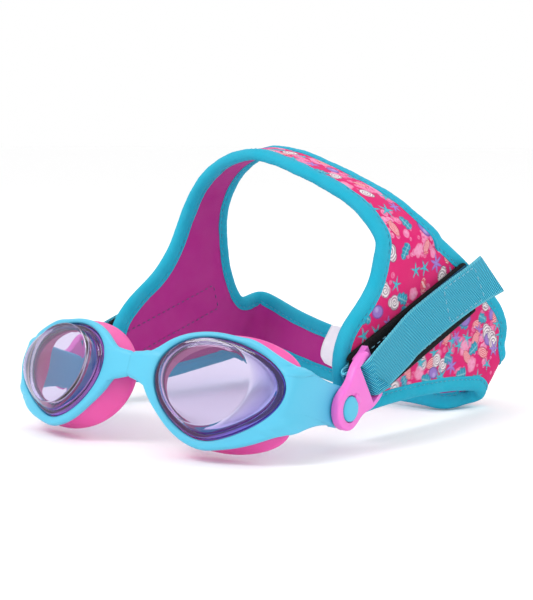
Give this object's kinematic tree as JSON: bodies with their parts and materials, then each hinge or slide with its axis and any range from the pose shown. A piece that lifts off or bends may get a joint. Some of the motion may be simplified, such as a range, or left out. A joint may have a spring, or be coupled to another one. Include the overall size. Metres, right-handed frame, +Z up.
{
  "type": "swim goggles",
  "caption": "Child's swim goggles with domed lenses, pivoting side clips and a wide padded head strap joined by hook-and-loop webbing.",
  "frame": {"origin": "centre of the bounding box, on the plane the goggles rest on", "axes": "+X to the wearer's left-hand side panel in this pose (the side with the long webbing tab), +Y from the lenses back to the head strap, +Z up"},
  "size_m": [0.1464, 0.1652, 0.1061],
  "materials": {
    "tpr_cyan": "satin, translucent sky blue",
    "lens_lavender": "clear, lavender tint",
    "tpr_pink": "satin",
    "stud_cyan": "satin",
    "clip_orchid": "satin, slightly translucent",
    "hook_pad_black": "dense short pile",
    "webbing_cyan": "woven twill",
    "hook_patch_blue": "hooked",
    "neoprene_foam": "foam",
    "printed_jersey": "printed knit",
    "lining_jersey": "fine knit",
    "binding_teal": "stretch jersey tape",
    "label_white": "satin"
  },
  "bodies": {
    "goggles": {"frame": "tpr_cyan", "lens_right": "lens_lavender", "lens_left": "lens_lavender", "gasket_right": "tpr_pink", "gasket_left": "tpr_pink", "stud_right": "stud_cyan", "stud_left": "stud_cyan"},
    "right_clip": {"clip_right": "clip_orchid", "elastic_right": "webbing_cyan", "hook_patch_right": "hook_patch_blue"},
    "left_clip": {"clip_left": "clip_orchid", "elastic_left": "webbing_cyan", "hook_patch_left": "hook_patch_blue"},
    "head_strap": {"strap_core": "neoprene_foam", "strap_print": "printed_jersey", "strap_lining": "lining_jersey", "binding_outer": "binding_teal", "binding_opening": "binding_teal", "hook_pad_right": "hook_pad_black", "hook_pad_left": "hook_pad_black", "care_label": "label_white"}
  },
  "joints": [
    {"name": "right_clip_pivot", "type": "hinge", "parent": "goggles", "child": "right_clip", "pos_m": [0.06317, -0.03758, 0.01574], "axis": [1, 0, 0], "range_deg": [-10, 40]},
    {"name": "left_clip_pivot", "type": "hinge", "parent": "goggles", "child": "left_clip", "pos_m": [-0.06982, -0.03758, 0.01574], "axis": [1, 0, 0], "range_deg": [-10, 40]},
    {"name": "strap_adjust", "type": "slide", "parent": "right_clip", "child": "head_strap", "axis": [0.0941, 0.9405, 0.3265], "range_m": [0, 0.007]}
  ],
  "couplings": [
    {"joint": "left_clip_pivot", "follows": "right_clip_pivot", "ratio": 1}
  ]
}
